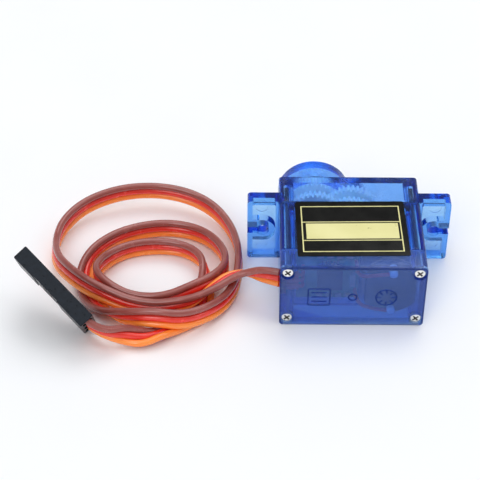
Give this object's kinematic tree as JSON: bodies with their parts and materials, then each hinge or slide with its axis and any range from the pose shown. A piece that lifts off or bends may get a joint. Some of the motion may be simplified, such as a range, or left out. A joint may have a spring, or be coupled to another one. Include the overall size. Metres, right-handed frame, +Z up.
{
  "type": "hobby servo motor",
  "caption": "Sub-micro hobby servo: clear blue case with two slotted ears, splined output shaft, geared motor, and a three-wire lead with a three-way connector.",
  "frame": {"origin": "under the middle of the case and output shaft, on the surface the servo lies on, without the lead", "axes": "+X across the two mounting ears, +Y along the output shaft away from the case, +Z up, normal to the label"},
  "size_m": [0.0685, 0.0371, 0.0137],
  "materials": {
    "clear_blue_plastic": "gloss, translucent",
    "screw_chrome": "polished",
    "label_film": "gloss",
    "steel": "satin",
    "can_steel": "satin",
    "white_plastic": "satin",
    "brass": "satin",
    "ferrite": "matt",
    "solder": "satin",
    "black_plastic": "satin",
    "phenolic": "matt",
    "board_green": "satin",
    "ceramic": "matt",
    "wire_brown": "gloss",
    "wire_red": "gloss",
    "wire_orange": "gloss",
    "gear_nylon": "satin",
    "lamination_steel": "satin",
    "copper": "gloss"
  },
  "bodies": {
    "case": {"bottom_cover": "clear_blue_plastic", "middle_case": "clear_blue_plastic", "gearbox_cover": "clear_blue_plastic", "case_screws": "screw_chrome", "label": "label_film", "gear_pin": "steel", "motor_can": "can_steel", "motor_end_cap": "black_plastic", "motor_bush": "brass", "motor_magnets": "ferrite", "motor_brushes": "brass", "motor_terminals": "solder", "potentiometer_case": "black_plastic", "potentiometer_track": "phenolic", "potentiometer_terminals": "solder", "control_board": "board_green", "driver_chip": "black_plastic", "board_components": "ceramic", "motor_wires": "wire_red", "potentiometer_wires": "wire_red", "lead_ends": "wire_red", "lead_wire_brown": "wire_brown", "lead_wire_red": "wire_red", "lead_wire_orange": "wire_orange", "connector_housing": "black_plastic", "crimp_contacts": "brass"},
    "output": {"output_gear": "gear_nylon", "potentiometer_shaft": "steel", "potentiometer_wiper": "white_plastic"},
    "third_gear": {"third_gear": "gear_nylon"},
    "second_gear": {"second_gear": "gear_nylon"},
    "first_gear": {"first_gear": "gear_nylon"},
    "rotor": {"motor_shaft": "steel", "armature_core": "lamination_steel", "armature_windings": "copper", "commutator": "copper", "motor_pinion": "brass"}
  },
  "joints": [
    {"name": "output_turn", "type": "hinge", "parent": "case", "child": "output", "pos_m": [-0.0054, 0.00495, 0.00595], "axis": [0, 1, 0], "range_deg": [-90, 90]},
    {"name": "third_gear_turn", "type": "hinge", "parent": "case", "child": "third_gear", "pos_m": [0.00047, 0.00495, 0.00595], "axis": [0, 1, 0], "range_deg": [-295, 295]},
    {"name": "second_gear_turn", "type": "hinge", "parent": "case", "child": "second_gear", "pos_m": [-0.0054, 0.00495, 0.00595], "axis": [0, 1, 0], "range_deg": [-965, 965]},
    {"name": "first_gear_turn", "type": "hinge", "parent": "case", "child": "first_gear", "pos_m": [0.00047, 0.00495, 0.00595], "axis": [0, 1, 0], "range_deg": [-3156, 3156]},
    {"name": "motor_turn", "type": "hinge", "parent": "case", "child": "rotor", "pos_m": [0.00598, 0.00495, 0.00595], "axis": [0, 1, 0], "range_deg": [-14200, 14200]}
  ],
  "couplings": [
    {"joint": "third_gear_turn", "follows": "output_turn", "ratio": -3.2727},
    {"joint": "second_gear_turn", "follows": "output_turn", "ratio": 10.711},
    {"joint": "first_gear_turn", "follows": "output_turn", "ratio": -35.053},
    {"joint": "motor_turn", "follows": "output_turn", "ratio": 157.74}
  ]
}
